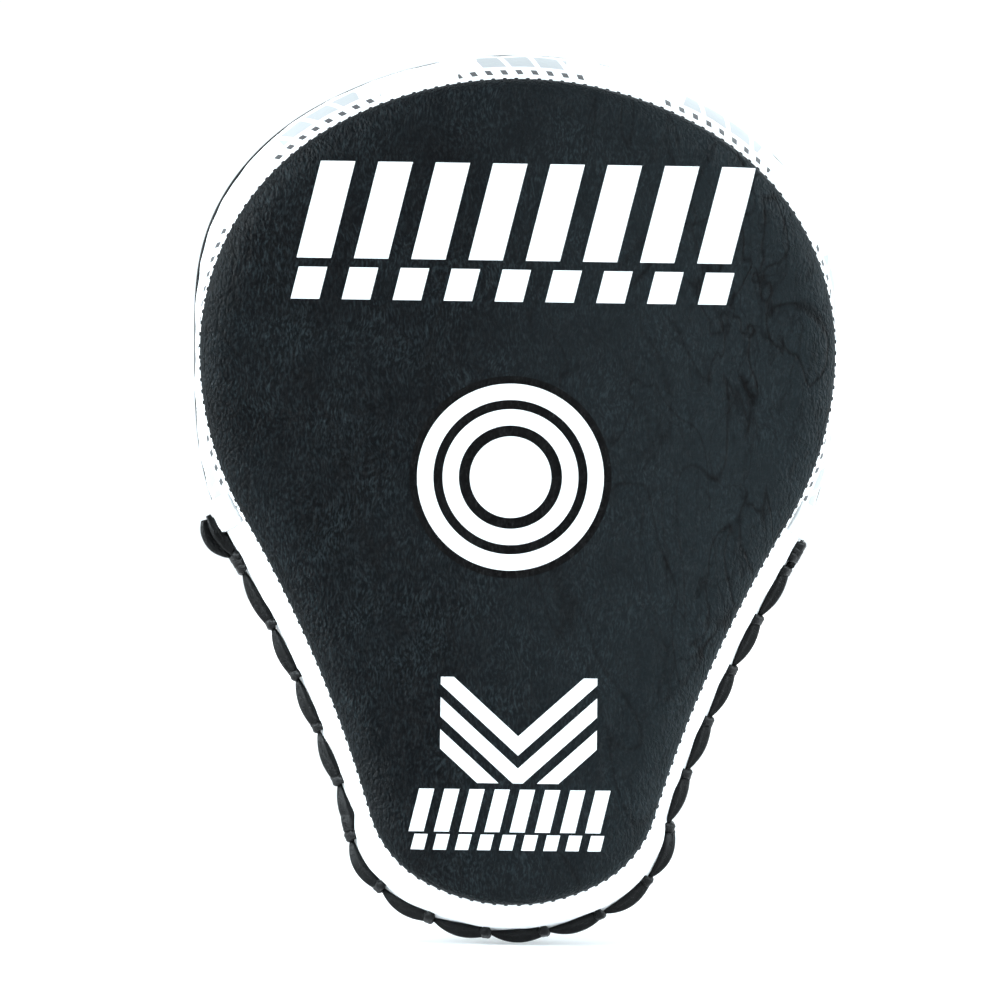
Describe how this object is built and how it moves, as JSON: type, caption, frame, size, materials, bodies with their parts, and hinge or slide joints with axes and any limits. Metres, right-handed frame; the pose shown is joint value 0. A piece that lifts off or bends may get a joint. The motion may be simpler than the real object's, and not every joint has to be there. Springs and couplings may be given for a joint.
{
  "type": "focus mitt",
  "caption": "Curved leather striking pad with a target face, laced edge, finger hood, thumb sleeve and wrist strap.",
  "frame": {"origin": "crown of the palm ball on the hand side, straight behind the target's centre", "axes": "+Z toward the fingertips, -Y out of the striking face, +Y toward the hand, +X to the right as seen from the face"},
  "size_m": [0.2098, 0.1131, 0.2843],
  "materials": {
    "face_leather": "black grained leather, satin, white print",
    "black_leather": "black grained leather, satin",
    "white_leather": "white smooth leather with small grey and black marks",
    "lace_leather": "black flat lace, semi-gloss",
    "foam": "closed-cell foam, matte",
    "latex": "latex sheet, matte",
    "lining_fabric": "dark knitted lining",
    "binding_tape": "black woven tape",
    "elastic": "black ribbed elastic",
    "strap_webbing": "black woven strap",
    "loop_pile": "black looped pile",
    "hook_pile": "black hook tape",
    "ring_steel": "polished nickel plate"
  },
  "bodies": {
    "root": {"face_panel": "face_leather", "impact_foam": "foam", "latex_sheet": "latex", "core_foam": "foam", "backing_foam": "foam", "gusset_upper": "white_leather", "gusset_lower": "white_leather", "seam_tab_left": "white_leather", "seam_tab_right": "white_leather", "rear_piping": "black_leather", "edge_lace": "lace_leather", "back_panel": "black_leather", "hood_shell": "black_leather", "hood_padding": "foam", "hood_lining": "lining_fabric", "hood_binding": "binding_tape", "finger_band": "elastic", "palm_ball_cover": "black_leather", "palm_ball_foam": "foam", "thumb_sleeve": "black_leather", "thumb_lining": "lining_fabric", "wrist_pad_cover": "lining_fabric", "wrist_pad_foam": "foam", "cuff_shell": "black_leather", "cuff_lining": "lining_fabric", "wrist_strap": "strap_webbing", "loop_patch": "loop_pile", "ring_tab": "black_leather"},
    "ring": {"strap_ring": "ring_steel", "strap_fold": "strap_webbing"},
    "flap": {"strap_flap": "strap_webbing", "hook_patch": "hook_pile"}
  },
  "joints": [
    {"name": "ring_swing", "type": "hinge", "parent": "root", "child": "ring", "pos_m": [-0.018, 0.02848, -0.09001], "axis": [0, 0.1123, 0.9937], "range_deg": [0, 18], "deforming": ["strap_fold"]},
    {"name": "flap_open", "type": "hinge", "parent": "ring", "child": "flap", "pos_m": [-0.004, 0.02848, -0.09001], "axis": [0, 0.1123, 0.9937], "range_deg": [0, 140], "deforming": ["strap_fold"]}
  ]
}
